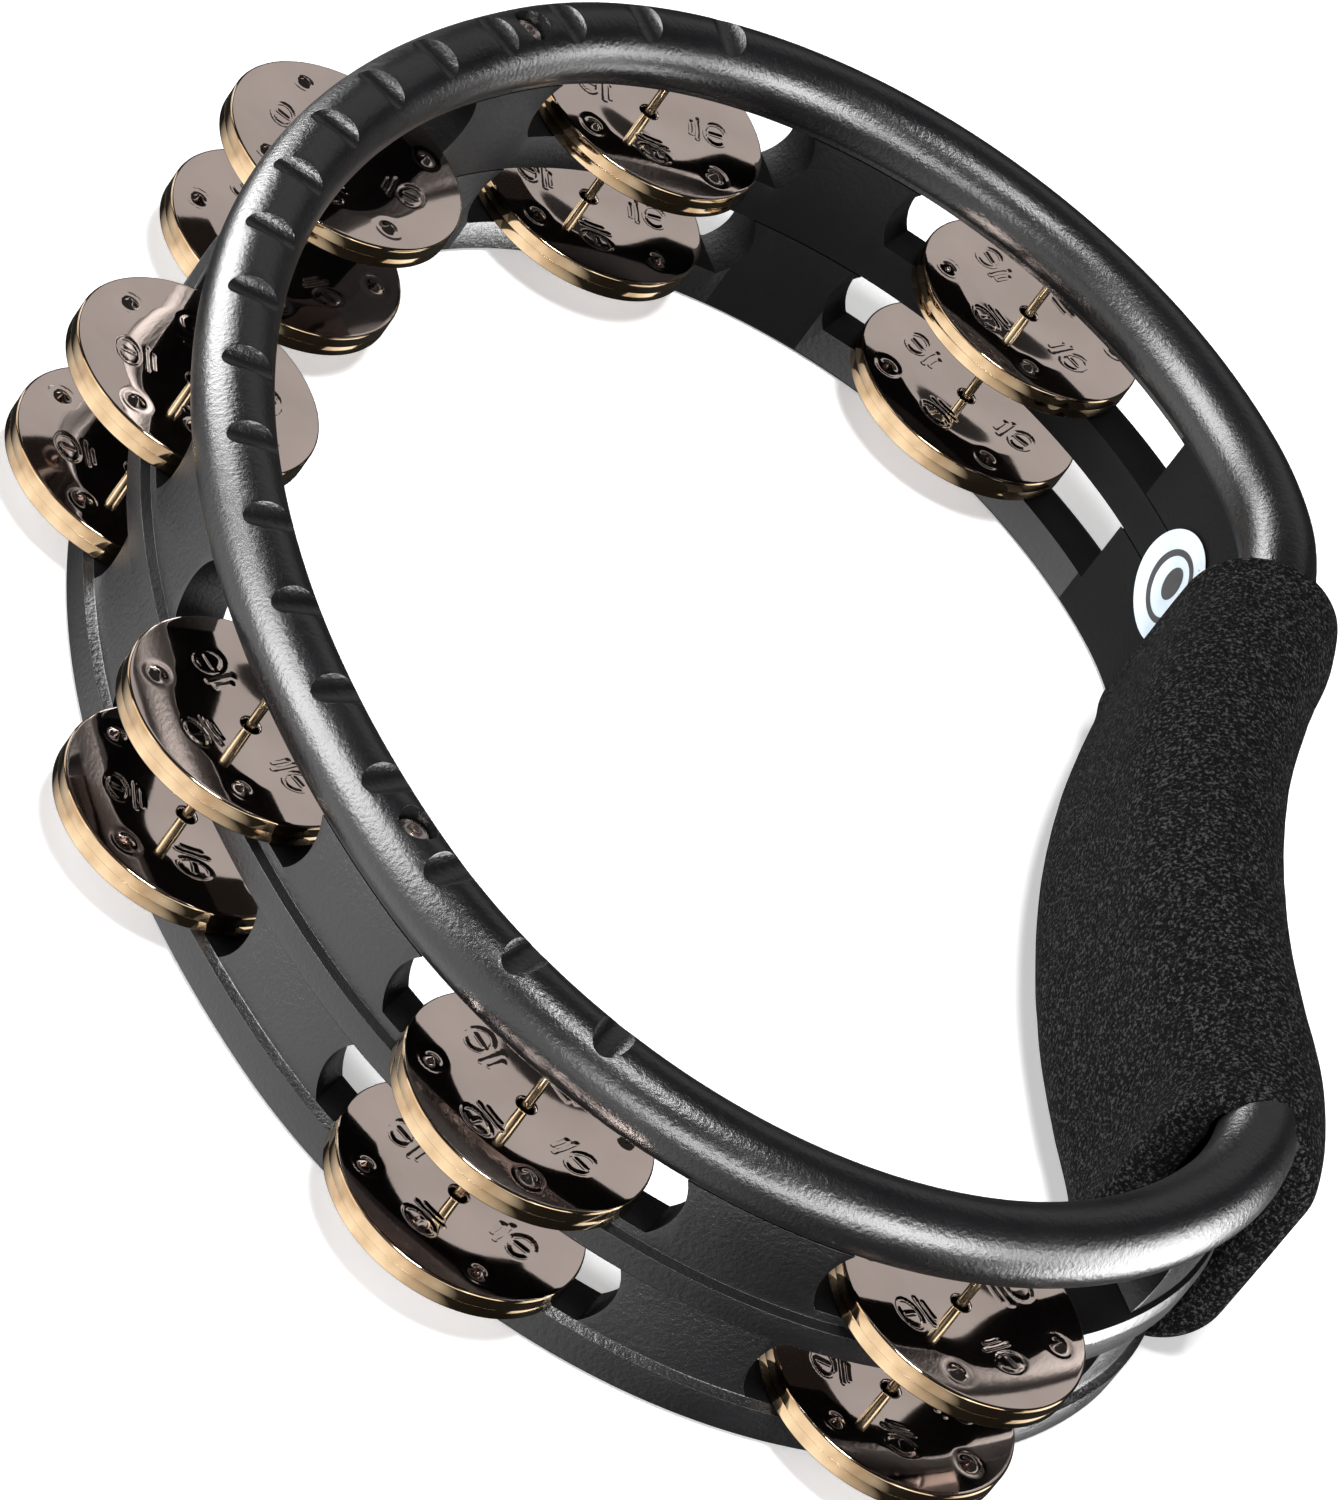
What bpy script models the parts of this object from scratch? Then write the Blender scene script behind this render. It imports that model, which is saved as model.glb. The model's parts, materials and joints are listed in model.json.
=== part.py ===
"""A hand-held tambourine: an oval black frame with two rows of jingle pairs and a foam-covered inward-curved handle.

Axes: +Z is the axis of the ring, from the back rim, which lies on z = 0, to the front rim tube.
+X points to the handle, and the frame is the same on both sides of the XZ plane.
"""

from math import atan2, cos, hypot, pi, radians, sin, sqrt

import bmesh
import bpy

MM = 0.001

# Centreline of the frame, seen along -Z: tangent arcs, symmetric about the X axis.
BACK_ARC_RADIUS = 169.0 * MM  # the side opposite the handle
SHOULDER_RADIUS = 92.5 * MM  # both long shoulders
SHOULDER_SPREAD = 51.9 * MM  # of the shoulder arcs' centres from the X axis
CORNER_RADIUS = 59.0 * MM  # where a shoulder turns into the handle
HANDLE_RADIUS = 195.0 * MM  # the handle curves inwards
BACK_TO_HANDLE = 190.8 * MM  # between the centrelines, on the X axis
STEP = 9.0 * MM  # of the stations that a moulding is swept through

# Heights from the surface that the tambourine lies on.
BACK_RIM_HEIGHT = 7.5 * MM
SLOT_HEIGHT = 14.0 * MM
MIDDLE_RING_HEIGHT = 8.0 * MM
TUBE_RADIUS = 6.9 * MM
TUBE_HEIGHT = 48.5 * MM  # of the tube's centreline
TUBE_FLAT = 5.6 * MM  # from the tube's centreline down to the ceiling of the front slots

# Radial offsets of the wall's faces from the centreline.
INNER_FACE = -5.0 * MM
OUTER_FACE = 5.8 * MM
PANEL_FACE = 4.2 * MM  # webs between the slots are set back
EDGE_BREAK = 0.7 * MM
RING_BAND = 2.4 * MM  # height of the middle ring's upright band, from which it slopes back to the panels
RIM_SLOPE = 1.6 * MM  # height of the back rim's slope up to the panels
GAP = 0.3 * MM  # between pieces that touch

# Jingle stations along the centreline, counted from the middle of the back arc.
STATION_COUNT = 7
STATION_PITCH = 82.0 * MM
SLOT_HALF_LENGTH = 27.0 * MM  # at the slot's corners
SLOT_END_RADIUS = 11.0 * MM  # the ends are bowed outwards
END_SLOT_EXTRA = 12.0 * MM  # the two end slots reach this much further towards the handle

# Handle: the frame is waisted there, and the foam sleeve fills the waist.
SLEEVE_HALF_LENGTH = 76.5 * MM
SLEEVE_PLACE = -6.5 * MM  # of its middle from the handle's, along the frame
SLEEVE_HALF_WIDTH = 15.0 * MM
SLEEVE_TOP = 55.0 * MM
SLEEVE_CORNER = 14.5 * MM
SLEEVE_END_ROUND = 3.0 * MM
WAIST_DEPTH = 4.5 * MM
WAIST_FULL = 48.0 * MM  # the waist has its full depth up to here along the handle
WAIST_END = 84.0 * MM

JINGLE_RADIUS = 22.7 * MM
JINGLE_HEIGHT = 2.3 * MM
JINGLE_SHEET = 0.7 * MM
JINGLE_BEND = 0.6 * MM
JINGLE_DISH_RADIUS = 17.5 * MM
JINGLE_DISH_DEPTH = 1.2 * MM
JINGLE_HOLE_RADIUS = 1.8 * MM
PAIR_GAP = 0.2 * MM

PIN_RADIUS = 0.9 * MM
PIN_BOTTOM = 2.4 * MM
PIN_TOP = 48.0 * MM

NOTCH_COUNT = 19
NOTCH_PITCH = 18.7 * MM
NOTCH_RADIUS = 3.6 * MM
NOTCH_DEPTH = 1.9 * MM

SCREW_NOTCH_STEPS = 6.5  # notch pitches from the middle of the back arc to each screw
SCREW_HEAD_RADIUS = 3.1 * MM
SCREW_HEAD_HEIGHT = 1.6 * MM
SCREW_SEAT = 52.0 * MM
SCREW_SHANK_RADIUS = 1.5 * MM
SCREW_BOTTOM = 13.0 * MM
COUNTERBORE_RADIUS = 3.5 * MM

STICKER_RADIUS = 11.0 * MM
STICKER_THICKNESS = 0.3 * MM
STICKER_PLACES = (308.0 * MM, -304.0 * MM)  # from the middle of the back arc
STICKER_HEIGHT = 25.0 * MM

MIDDLE_RING_BOTTOM = BACK_RIM_HEIGHT + SLOT_HEIGHT
MIDDLE_RING_TOP = MIDDLE_RING_BOTTOM + MIDDLE_RING_HEIGHT
FRONT_CEILING = TUBE_HEIGHT - TUBE_FLAT


def clear_scene():
    for obj in list(bpy.data.objects):
        bpy.data.objects.remove(obj, do_unlink=True)


def material(name, color, roughness, metallic=0.0):
    made = bpy.data.materials.new(name)
    made.use_nodes = True
    shader = made.node_tree.nodes["Principled BSDF"]
    shader.inputs["Base Color"].default_value = (*color, 1.0)
    shader.inputs["Roughness"].default_value = roughness
    shader.inputs["Metallic"].default_value = metallic
    made.diffuse_color = (*color, 1.0)
    return made


# --- the centreline -------------------------------------------------------------------------------


def half_arcs():
    """The arcs of the half with +Y, from the handle's middle to the back: (centre x, centre y, radius, start, end)."""
    back_x = BACK_ARC_RADIUS - BACK_TO_HANDLE / 2
    spread = BACK_ARC_RADIUS - SHOULDER_RADIUS
    shoulder = (back_x - sqrt(spread**2 - SHOULDER_SPREAD**2), SHOULDER_SPREAD)
    handle = (BACK_TO_HANDLE / 2 + HANDLE_RADIUS, 0.0)
    # The corner arc's centre lies where it can touch both the shoulder's arc and the handle's.
    to_shoulder = SHOULDER_RADIUS - CORNER_RADIUS
    to_handle = HANDLE_RADIUS + CORNER_RADIUS
    away = (handle[0] - shoulder[0], handle[1] - shoulder[1])
    between = hypot(*away)
    along = (to_shoulder**2 - to_handle**2 + between**2) / (2 * between)
    across = sqrt(to_shoulder**2 - along**2)
    unit = (away[0] / between, away[1] / between)
    corner = (
        shoulder[0] + along * unit[0] - across * unit[1],
        shoulder[1] + along * unit[1] + across * unit[0],
    )
    handle_end = atan2(corner[1] - handle[1], corner[0] - handle[0])
    corner_end = atan2(corner[1] - shoulder[1], corner[0] - shoulder[0])
    shoulder_end = atan2(shoulder[1], shoulder[0] - back_x)
    return [
        (*handle, HANDLE_RADIUS, pi, handle_end),
        (*corner, CORNER_RADIUS, handle_end - pi, corner_end),
        (*shoulder, SHOULDER_RADIUS, corner_end, shoulder_end),
        (back_x, 0.0, BACK_ARC_RADIUS, shoulder_end, pi),
    ]


ARCS = half_arcs()
LENGTHS = [radius * abs(end - start) for _, _, radius, start, end in ARCS]
HALF_LENGTH = sum(LENGTHS)
CORNER_X = ARCS[1][0] + CORNER_RADIUS
# Puts the middle of the whole object's length on x = 0.
SHIFT = (BACK_TO_HANDLE / 2 + JINGLE_RADIUS - CORNER_X - SLEEVE_HALF_WIDTH) / 2


def place(along):
    """Point and outward normal of the centreline, at a distance from the handle's middle. It runs towards +Y."""
    along = (along + HALF_LENGTH) % (2 * HALF_LENGTH) - HALF_LENGTH
    side = 1.0 if along >= 0 else -1.0
    left = abs(along)
    for (x, y, radius, start, end), length in zip(ARCS, LENGTHS):
        if left <= length or radius == BACK_ARC_RADIUS:
            break
        left -= length
    angle = start + (end - start) * left / length
    out = -1.0 if radius == HANDLE_RADIUS else 1.0
    point = (x + radius * cos(angle) + SHIFT, side * (y + radius * sin(angle)))
    return point, (out * cos(angle), side * out * sin(angle))


def from_back(along):
    """The same, at a distance from the middle of the back arc, towards +Y if the distance is positive."""
    return place(HALF_LENGTH - along)


def waist(along):
    """0 in the ring and 1 in the middle of the handle."""
    left = abs((along + HALF_LENGTH) % (2 * HALF_LENGTH) - HALF_LENGTH)
    share = min(max((WAIST_END - left) / (WAIST_END - WAIST_FULL), 0.0), 1.0)
    return share * share * (3 - 2 * share)


def around(start, end, count):
    return [start + (end - start) * i / count for i in range(count + 1)]


# --- cross-sections, as (offset from the centreline, height), anticlockwise ------------------------


def arc_points(x, z, radius, start, end, count):
    return [(x + radius * cos(a), z + radius * sin(a)) for a in around(radians(start), radians(end), count)]


def end_web(along):
    """True on the handle's side of the two end stations."""
    left = abs((along + HALF_LENGTH) % (2 * HALF_LENGTH) - HALF_LENGTH)
    return HALF_LENGTH - left > station_places()[0]


def front_section(along):
    """Round tube, and under it the upper half of the wall where the handle is."""
    z = TUBE_HEIGHT - WAIST_DEPTH * waist(along)
    foot = MIDDLE_RING_TOP + GAP if end_web(along) else FRONT_CEILING
    outer = PANEL_FACE
    start = -atan2(sqrt(TUBE_RADIUS**2 - outer**2), outer) * 180 / pi
    end = 180 + atan2(sqrt(TUBE_RADIUS**2 - INNER_FACE**2), -INNER_FACE) * 180 / pi
    return [(outer, foot)] + arc_points(0, z, TUBE_RADIUS, start, end, 12) + [(INNER_FACE, foot)]


def middle_section(along):
    """Ring with the front row's webs standing on it, up to a joint under the tube."""
    low = MIDDLE_RING_BOTTOM
    high = MIDDLE_RING_TOP
    if end_web(along):
        top = [(OUTER_FACE - EDGE_BREAK, high), (0.0, high), (INNER_FACE, high)]
    else:
        top = [(PANEL_FACE, high), (PANEL_FACE, FRONT_CEILING - GAP), (INNER_FACE, FRONT_CEILING - GAP)]
    band = [(OUTER_FACE - EDGE_BREAK, low), (OUTER_FACE, low + EDGE_BREAK), (OUTER_FACE, low + RING_BAND)]
    return band + top + [(INNER_FACE, low)]


def back_section(along):
    """Rim with the back row's webs standing on it, up to a joint under the middle ring."""
    low = WAIST_DEPTH * waist(along)
    rim = BACK_RIM_HEIGHT
    return [
        (OUTER_FACE - EDGE_BREAK, low),
        (OUTER_FACE, low + EDGE_BREAK),
        (OUTER_FACE, rim - RIM_SLOPE),
        (PANEL_FACE, rim),
        (PANEL_FACE, MIDDLE_RING_BOTTOM - GAP),
        (INNER_FACE, MIDDLE_RING_BOTTOM - GAP),
        (INNER_FACE, low + EDGE_BREAK),
        (INNER_FACE + EDGE_BREAK, low),
    ]


def sleeve_section(along):
    """Outside of the foam, rounded off at both ends."""
    left = SLEEVE_HALF_LENGTH - abs(along - SLEEVE_PLACE)
    inset = 0.0
    if left < SLEEVE_END_ROUND:
        inset = SLEEVE_END_ROUND - sqrt(SLEEVE_END_ROUND**2 - (SLEEVE_END_ROUND - left) ** 2)
    width = SLEEVE_HALF_WIDTH - inset
    low = GAP + inset
    high = SLEEVE_TOP - inset
    corner = SLEEVE_CORNER - inset
    x = width - corner
    return (
        arc_points(x, low + corner, corner, -90, 0, 4)
        + arc_points(x, high - corner, corner, 0, 90, 4)
        + arc_points(-x, high - corner, corner, 90, 180, 4)
        + arc_points(-x, low + corner, corner, 180, 270, 4)
    )


def core_section(along):
    """What the foam leaves free for the frame."""
    z = TUBE_HEIGHT - WAIST_DEPTH * waist(along)
    low = WAIST_DEPTH * waist(along) - GAP
    radius = TUBE_RADIUS + GAP
    outer = OUTER_FACE + GAP
    inner = -INNER_FACE + GAP
    start = -atan2(sqrt(radius**2 - outer**2), outer) * 180 / pi
    end = 180 + atan2(sqrt(radius**2 - inner**2), inner) * 180 / pi
    return [(outer, low)] + arc_points(0, z, radius, start, end, 12) + [(-inner, low)]


# --- meshes ----------------------------------------------------------------------------------------


def new_object(name, mesh, look, group, location=(0, 0, 0)):
    obj = bpy.data.objects.new(name, mesh)
    obj.location = location
    if look:
        mesh.materials.clear()
        mesh.materials.append(look)
    group.objects.link(obj)
    return obj


def mesh_of(name, points, faces):
    mesh = bpy.data.meshes.new(name)
    mesh.from_pydata(points, [], faces)
    shape = bmesh.new()
    shape.from_mesh(mesh)
    bmesh.ops.recalc_face_normals(shape, faces=shape.faces)
    shape.to_mesh(mesh)
    shape.free()
    return mesh


def swept(name, section, stations, closed):
    """A cross-section carried along the centreline through these stations."""
    points = []
    for along in stations:
        (x, y), (nx, ny) = place(along)
        points += [(x + nx * offset, y + ny * offset, z) for offset, z in section(along)]
    size = len(points) // len(stations)
    last = len(stations) if closed else len(stations) - 1
    faces = []
    for i in range(last):
        here = i * size
        there = (i + 1) % len(stations) * size
        for j in range(size):
            k = (j + 1) % size
            faces.append((here + j, here + k, there + k, there + j))
    if not closed:
        faces.append(tuple(range(size)))
        faces.append(tuple(range(last * size, last * size + size)))
    return mesh_of(name, points, faces)


def prism(name, outline, middle, out, near, far):
    """An outline of (along the frame, height) pushed through the wall, from offset near to offset far."""
    (x, y), (nx, ny) = middle, out
    points = []
    for offset in (near, far):
        points += [(x + nx * offset - ny * u, y + ny * offset + nx * u, z) for u, z in outline]
    size = len(outline)
    faces = [tuple(range(size)), tuple(range(size, 2 * size))]
    for j in range(size):
        k = (j + 1) % size
        faces.append((j, k, size + k, size + j))
    return mesh_of(name, points, faces)


def turned(name, profile, look, group, location, steps):
    """A solid of revolution about Z, from a profile at +X that runs down its outer side."""
    mesh = bpy.data.meshes.new(name)
    loop = profile[0][0] > 0 and profile[-1][0] > 0
    edges = [(i, i + 1) for i in range(len(profile) - 1)]
    if loop:
        edges.append((len(profile) - 1, 0))
    mesh.from_pydata([(r, 0, z) for r, z in profile], edges, [])
    obj = new_object(name, mesh, look, group, location)
    screw = obj.modifiers.new("Turn", "SCREW")
    screw.axis = "Z"
    screw.angle = 2 * pi
    screw.steps = steps
    screw.render_steps = steps
    screw.use_merge_vertices = True
    screw.merge_threshold = 0.00001
    return obj


def joined(name, meshes):
    """Separate closed shapes as one mesh, to cut with."""
    shape = bmesh.new()
    for mesh in meshes:
        shape.from_mesh(mesh)
    whole = bpy.data.meshes.new(name)
    shape.to_mesh(whole)
    shape.free()
    return whole


def upright(name, point, radius, low, high, sides):
    shape = bmesh.new()
    bmesh.ops.create_cone(
        shape,
        cap_ends=True,
        segments=sides,
        radius1=radius,
        radius2=radius,
        depth=high - low,
    )
    bmesh.ops.translate(shape, verts=shape.verts, vec=(*point, (high + low) / 2))
    mesh = bpy.data.meshes.new(name)
    shape.to_mesh(mesh)
    shape.free()
    return mesh


def cut(obj, cutter, cutters):
    tool = new_object(cutter.name, cutter, None, cutters)
    tool.hide_render = True
    tool.display_type = "WIRE"
    boolean = obj.modifiers.new("Cut " + cutter.name, "BOOLEAN")
    boolean.operation = "DIFFERENCE"
    boolean.solver = "EXACT"
    boolean.object = tool


# --- the pieces ------------------------------------------------------------------------------------

def station_places():
    """Distances of the stations from the middle of the back arc, from the +Y end round to the -Y end."""
    return [STATION_PITCH * (i - (STATION_COUNT - 1) / 2) for i in reversed(range(STATION_COUNT))]


def screw_places():
    return [side * SCREW_NOTCH_STEPS * NOTCH_PITCH for side in (1, -1)]


def slot_outline(low, high, below, above, station):
    """Slot with bowed ends, seen from outside. It also runs on below and above its own height."""
    outline = []
    for side in (1, -1):
        half = SLOT_HALF_LENGTH
        if side * station < -2.5 * STATION_PITCH:
            half += END_SLOT_EXTRA
        rise = (high - low) / 2
        turn = atan2(rise, sqrt(SLOT_END_RADIUS**2 - rise**2)) * 180 / pi
        centre = half - SLOT_END_RADIUS * cos(radians(turn))
        low_end = [(side * half, low - below)] if below else []
        high_end = [(side * half, high + above)] if above else []
        bow = arc_points(centre, (low + high) / 2, SLOT_END_RADIUS, -turn, turn, 6)
        end = low_end + [(side * x, z) for x, z in bow] + high_end
        outline += end[::side]
    return outline


def notch(index):
    """A scallop across the top of the tube."""
    point, out = from_back((index - (NOTCH_COUNT - 1) / 2) * NOTCH_PITCH)
    z = TUBE_HEIGHT + TUBE_RADIUS - NOTCH_DEPTH + NOTCH_RADIUS
    outline = arc_points(0, z, NOTCH_RADIUS, 22.5, 337.5, 7)
    return prism("notch", outline, point, out, -TUBE_RADIUS, TUBE_RADIUS)


def frame(group, cutters, plastic):
    count = 2 * round(HALF_LENGTH / STEP)
    stations = around(0.0, 2 * HALF_LENGTH, count)[:-1]
    front = new_object("front_frame_moulding", swept("front", front_section, stations, True), plastic, group)
    middle = new_object("middle_frame_ring", swept("middle", middle_section, stations, True), plastic, group)
    back = new_object("back_frame_moulding", swept("back", back_section, stations, True), plastic, group)

    reach = 14 * MM
    front_row = (MIDDLE_RING_TOP, FRONT_CEILING)
    back_row = (BACK_RIM_HEIGHT, MIDDLE_RING_BOTTOM)
    overrun = 2 * MM
    for obj, row, below, above, places in (
        (front, front_row, overrun, 0.0, [station_places()[0], station_places()[-1]]),
        (middle, front_row, 0.0, overrun, station_places()),
        (back, back_row, 0.0, overrun, station_places()),
    ):
        slots = []
        for along in places:
            outline = slot_outline(*row, below, above, along)
            slots.append(prism("slot", outline, *from_back(along), -reach, reach))
        cut(obj, joined(obj.name + "_slots", slots), cutters)
    pin_holes = [from_back(along) for along in station_places()]
    cut(front, joined("notches", [notch(i) for i in range(NOTCH_COUNT)]), cutters)

    radius = PIN_RADIUS + GAP
    holes = [upright("hole", point, radius, PIN_BOTTOM - GAP, PIN_TOP + GAP, 8) for point, _ in pin_holes]
    for along in screw_places():
        point, _ = from_back(along)
        holes.append(upright("hole", point, SCREW_SHANK_RADIUS + GAP, SCREW_BOTTOM - GAP, SCREW_SEAT, 8))
    bores = [
        upright("bore", from_back(along)[0], COUNTERBORE_RADIUS, SCREW_SEAT - GAP, TUBE_HEIGHT + 2 * TUBE_RADIUS, 16)
        for along in screw_places()
    ]
    for obj in (front, middle, back):
        cut(obj, joined(obj.name + "_holes", holes), cutters)
    cut(front, joined("counterbores", bores), cutters)
    return front, middle, back


def foam(group, cutters, look):
    ends = [SLEEVE_END_ROUND * (1 - cos(radians(a))) for a in (0, 35, 65)]
    first = SLEEVE_PLACE - SLEEVE_HALF_LENGTH
    last = SLEEVE_PLACE + SLEEVE_HALF_LENGTH
    stations = [first + e for e in ends]
    stations += around(first + SLEEVE_END_ROUND, last - SLEEVE_END_ROUND, 14)
    stations += [last - e for e in reversed(ends)]
    sleeve = new_object("foam_grip", swept("sleeve", sleeve_section, stations, False), look, group)
    core = around(first - 4 * MM, last + 4 * MM, 18)
    cut(sleeve, swept("sleeve_core", core_section, core, False), cutters)
    return sleeve


def jingle_profile():
    """A stamped cap: dished face, rounded bend, turned rim. z = 0 is the rim's free edge."""
    top = JINGLE_HEIGHT
    dish = top - JINGLE_DISH_DEPTH
    sheet = JINGLE_SHEET
    return [
        (JINGLE_HOLE_RADIUS, dish),
        (JINGLE_DISH_RADIUS, top),
        (JINGLE_RADIUS - JINGLE_BEND, top),
        (JINGLE_RADIUS, top - JINGLE_BEND),
        (JINGLE_RADIUS, 0.0),
        (JINGLE_RADIUS - sheet, 0.0),
        (JINGLE_RADIUS - sheet, top - sheet),
        (JINGLE_HOLE_RADIUS, dish - sheet),
    ]


def jingles(group, metal):
    """Each pair is two caps face to face on its pin, resting on the rim under it."""
    rows = (("front", MIDDLE_RING_TOP), ("back", BACK_RIM_HEIGHT))
    for number, along in enumerate(station_places(), 1):
        point, _ = from_back(along)
        for row, rim in rows:
            seam = rim + GAP + JINGLE_HEIGHT
            name = f"jingle_{number}_{row}"
            turned(name + "_upper", jingle_profile(), metal, group, (*point, seam + PAIR_GAP), 16)
            lower = turned(name + "_lower", jingle_profile(), metal, group, (*point, seam), 16)
            lower.rotation_euler = (pi, 0, 0)


def pins(group, metal):
    for number, along in enumerate(station_places(), 1):
        point, _ = from_back(along)
        profile = [(0.0, PIN_TOP), (PIN_RADIUS, PIN_TOP), (PIN_RADIUS, PIN_BOTTOM), (0.0, PIN_BOTTOM)]
        turned(f"jingle_pin_{number}", profile, metal, group, (*point, 0), 8)


def screws(group, metal):
    """Dome-headed screws sunk in the front tube, which clamp the three mouldings together."""
    rise = SCREW_HEAD_HEIGHT
    reach = SCREW_HEAD_RADIUS
    profile = [(0.0, SCREW_SEAT + rise)]
    profile += [(reach * sin(a), SCREW_SEAT + rise * (0.35 + 0.65 * cos(a))) for a in around(0.4, pi / 2, 3)]
    profile += [(reach, SCREW_SEAT), (SCREW_SHANK_RADIUS, SCREW_SEAT)]
    profile += [(SCREW_SHANK_RADIUS, SCREW_BOTTOM + 2 * MM), (0.0, SCREW_BOTTOM)]
    for number, along in enumerate(screw_places(), 1):
        point, _ = from_back(along)
        turned(f"rim_screw_{number}", profile, metal, group, (*point, 0), 12)


def sticker(along):
    """A round foil sheet that follows the curve of the wall's inner face."""
    count = 20
    front = INNER_FACE - GAP - STICKER_THICKNESS
    points = []
    rings = [(0.5, front), (1.0, front), (1.0, front + STICKER_THICKNESS), (0.5, front + STICKER_THICKNESS)]
    for share, offset in rings:
        for i in range(count):
            angle = 2 * pi * i / count
            (x, y), (nx, ny) = from_back(along + share * STICKER_RADIUS * cos(angle))
            z = STICKER_HEIGHT + share * STICKER_RADIUS * sin(angle)
            points.append((x + nx * offset, y + ny * offset, z))
    faces = [tuple(range(count)), tuple(range(3 * count, 4 * count))]
    for ring in range(3):
        for i in range(count):
            k = (i + 1) % count
            faces.append((ring * count + i, ring * count + k, (ring + 1) * count + k, (ring + 1) * count + i))
    return mesh_of("sticker", points, faces)


def main():
    clear_scene()
    scene = bpy.context.scene
    parts = bpy.data.collections.new("tambourine")
    cutters = bpy.data.collections.new("cutters")
    scene.collection.children.link(parts)
    scene.collection.children.link(cutters)
    plastic = material("black_abs_plastic", (0.018, 0.018, 0.020), 0.38)
    rubber = material("black_foam", (0.022, 0.022, 0.023), 0.92)
    nickel = material("black_nickel_steel", (0.42, 0.36, 0.32), 0.12, 1.0)
    steel = material("yellow_zinc_steel", (0.72, 0.60, 0.38), 0.25, 1.0)
    screw_steel = material("screw_steel", (0.55, 0.50, 0.46), 0.3, 1.0)
    foil = material("silver_foil", (0.72, 0.78, 0.84), 0.3, 0.6)
    frame(parts, cutters, plastic)
    foam(parts, cutters, rubber)
    jingles(parts, nickel)
    pins(parts, steel)
    screws(parts, screw_steel)
    for number, along in enumerate(STICKER_PLACES, 1):
        new_object(f"round_sticker_{number}", sticker(along), foil, parts)


main()
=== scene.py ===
"""Looks of a hand-held tambourine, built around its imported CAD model."""

import json
from math import atan2, cos, exp, hypot, pi, radians, sin, sqrt

import bmesh
import bpy
from mathutils import Matrix, Vector, noise

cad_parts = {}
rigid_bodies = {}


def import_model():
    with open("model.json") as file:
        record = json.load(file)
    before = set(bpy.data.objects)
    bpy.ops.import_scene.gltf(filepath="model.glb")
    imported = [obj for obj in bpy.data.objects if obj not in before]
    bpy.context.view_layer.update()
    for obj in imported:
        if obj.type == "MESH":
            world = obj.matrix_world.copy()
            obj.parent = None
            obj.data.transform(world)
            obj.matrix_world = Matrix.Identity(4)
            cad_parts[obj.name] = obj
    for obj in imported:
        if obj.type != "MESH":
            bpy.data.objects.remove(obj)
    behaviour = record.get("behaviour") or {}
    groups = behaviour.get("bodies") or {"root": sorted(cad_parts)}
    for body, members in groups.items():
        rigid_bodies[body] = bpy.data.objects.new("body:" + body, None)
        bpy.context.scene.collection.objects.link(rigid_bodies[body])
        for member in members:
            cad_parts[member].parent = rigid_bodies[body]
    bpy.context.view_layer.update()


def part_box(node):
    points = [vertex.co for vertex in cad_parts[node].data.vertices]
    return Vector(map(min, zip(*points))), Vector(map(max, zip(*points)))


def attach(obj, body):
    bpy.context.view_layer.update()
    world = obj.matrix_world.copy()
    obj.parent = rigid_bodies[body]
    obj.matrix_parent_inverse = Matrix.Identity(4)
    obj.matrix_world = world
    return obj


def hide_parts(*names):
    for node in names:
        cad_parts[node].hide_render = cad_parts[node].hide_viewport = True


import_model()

MM = 0.001

# Outline of the frame, seen from above: tangent arcs, mirrored about the X axis.
BACK_ARC_RADIUS = 169.0 * MM
SHOULDER_RADIUS = 92.5 * MM
SHOULDER_SPREAD = 51.9 * MM
CORNER_RADIUS = 59.0 * MM
HANDLE_RADIUS = 195.0 * MM
BACK_TO_HANDLE = 190.8 * MM

# Heights of the mouldings.
BACK_RIM_HEIGHT = 7.5 * MM
SLOT_HEIGHT = 14.0 * MM
MIDDLE_RING_HEIGHT = 8.0 * MM
TUBE_RADIUS = 6.9 * MM
TUBE_HEIGHT = 48.5 * MM
TUBE_FLAT = 5.6 * MM
MIDDLE_RING_BOTTOM = BACK_RIM_HEIGHT + SLOT_HEIGHT
MIDDLE_RING_TOP = MIDDLE_RING_BOTTOM + MIDDLE_RING_HEIGHT
FRONT_CEILING = TUBE_HEIGHT - TUBE_FLAT

# Offsets of the wall's faces from the outline.
INNER_FACE = -5.0 * MM
OUTER_FACE = 5.8 * MM
PANEL_FACE = 4.2 * MM
EDGE_BREAK = 0.7 * MM
EDGE_ROUND = 0.45 * MM
RING_CROWN = 5.5 * MM
RING_FOOT = 6.2 * MM
RIM_SLOPE = 0.8 * MM
GAP = 0.3 * MM
FINE_STEP = 2.5 * MM

# Jingle stations and slots.
STATION_COUNT = 7
STATION_PITCH = 82.0 * MM
SLOT_HALF_LENGTH = 27.0 * MM
SLOT_END_RADIUS = 11.0 * MM
END_SLOT_EXTRA = 12.0 * MM

# Foam grip.
SLEEVE_HALF_LENGTH = 76.5 * MM
SLEEVE_PLACE = -6.5 * MM
SLEEVE_HALF_WIDTH = 15.0 * MM
SLEEVE_TOP = 55.0 * MM
SLEEVE_CORNER = 14.5 * MM
SLEEVE_END_ROUND = 3.0 * MM
WAIST_DEPTH = 4.5 * MM
WAIST_FULL = 48.0 * MM
WAIST_END = 84.0 * MM

# How far the foam's skin lies inside the swept shape, and how much two sizes of lump add to that (mm).
FOAM_INSET = 0.35
FOAM_LUMPS = ((45.0, 0.25), (160.0, 0.10))
CORE_DEPTH = 14.0 * MM

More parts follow.
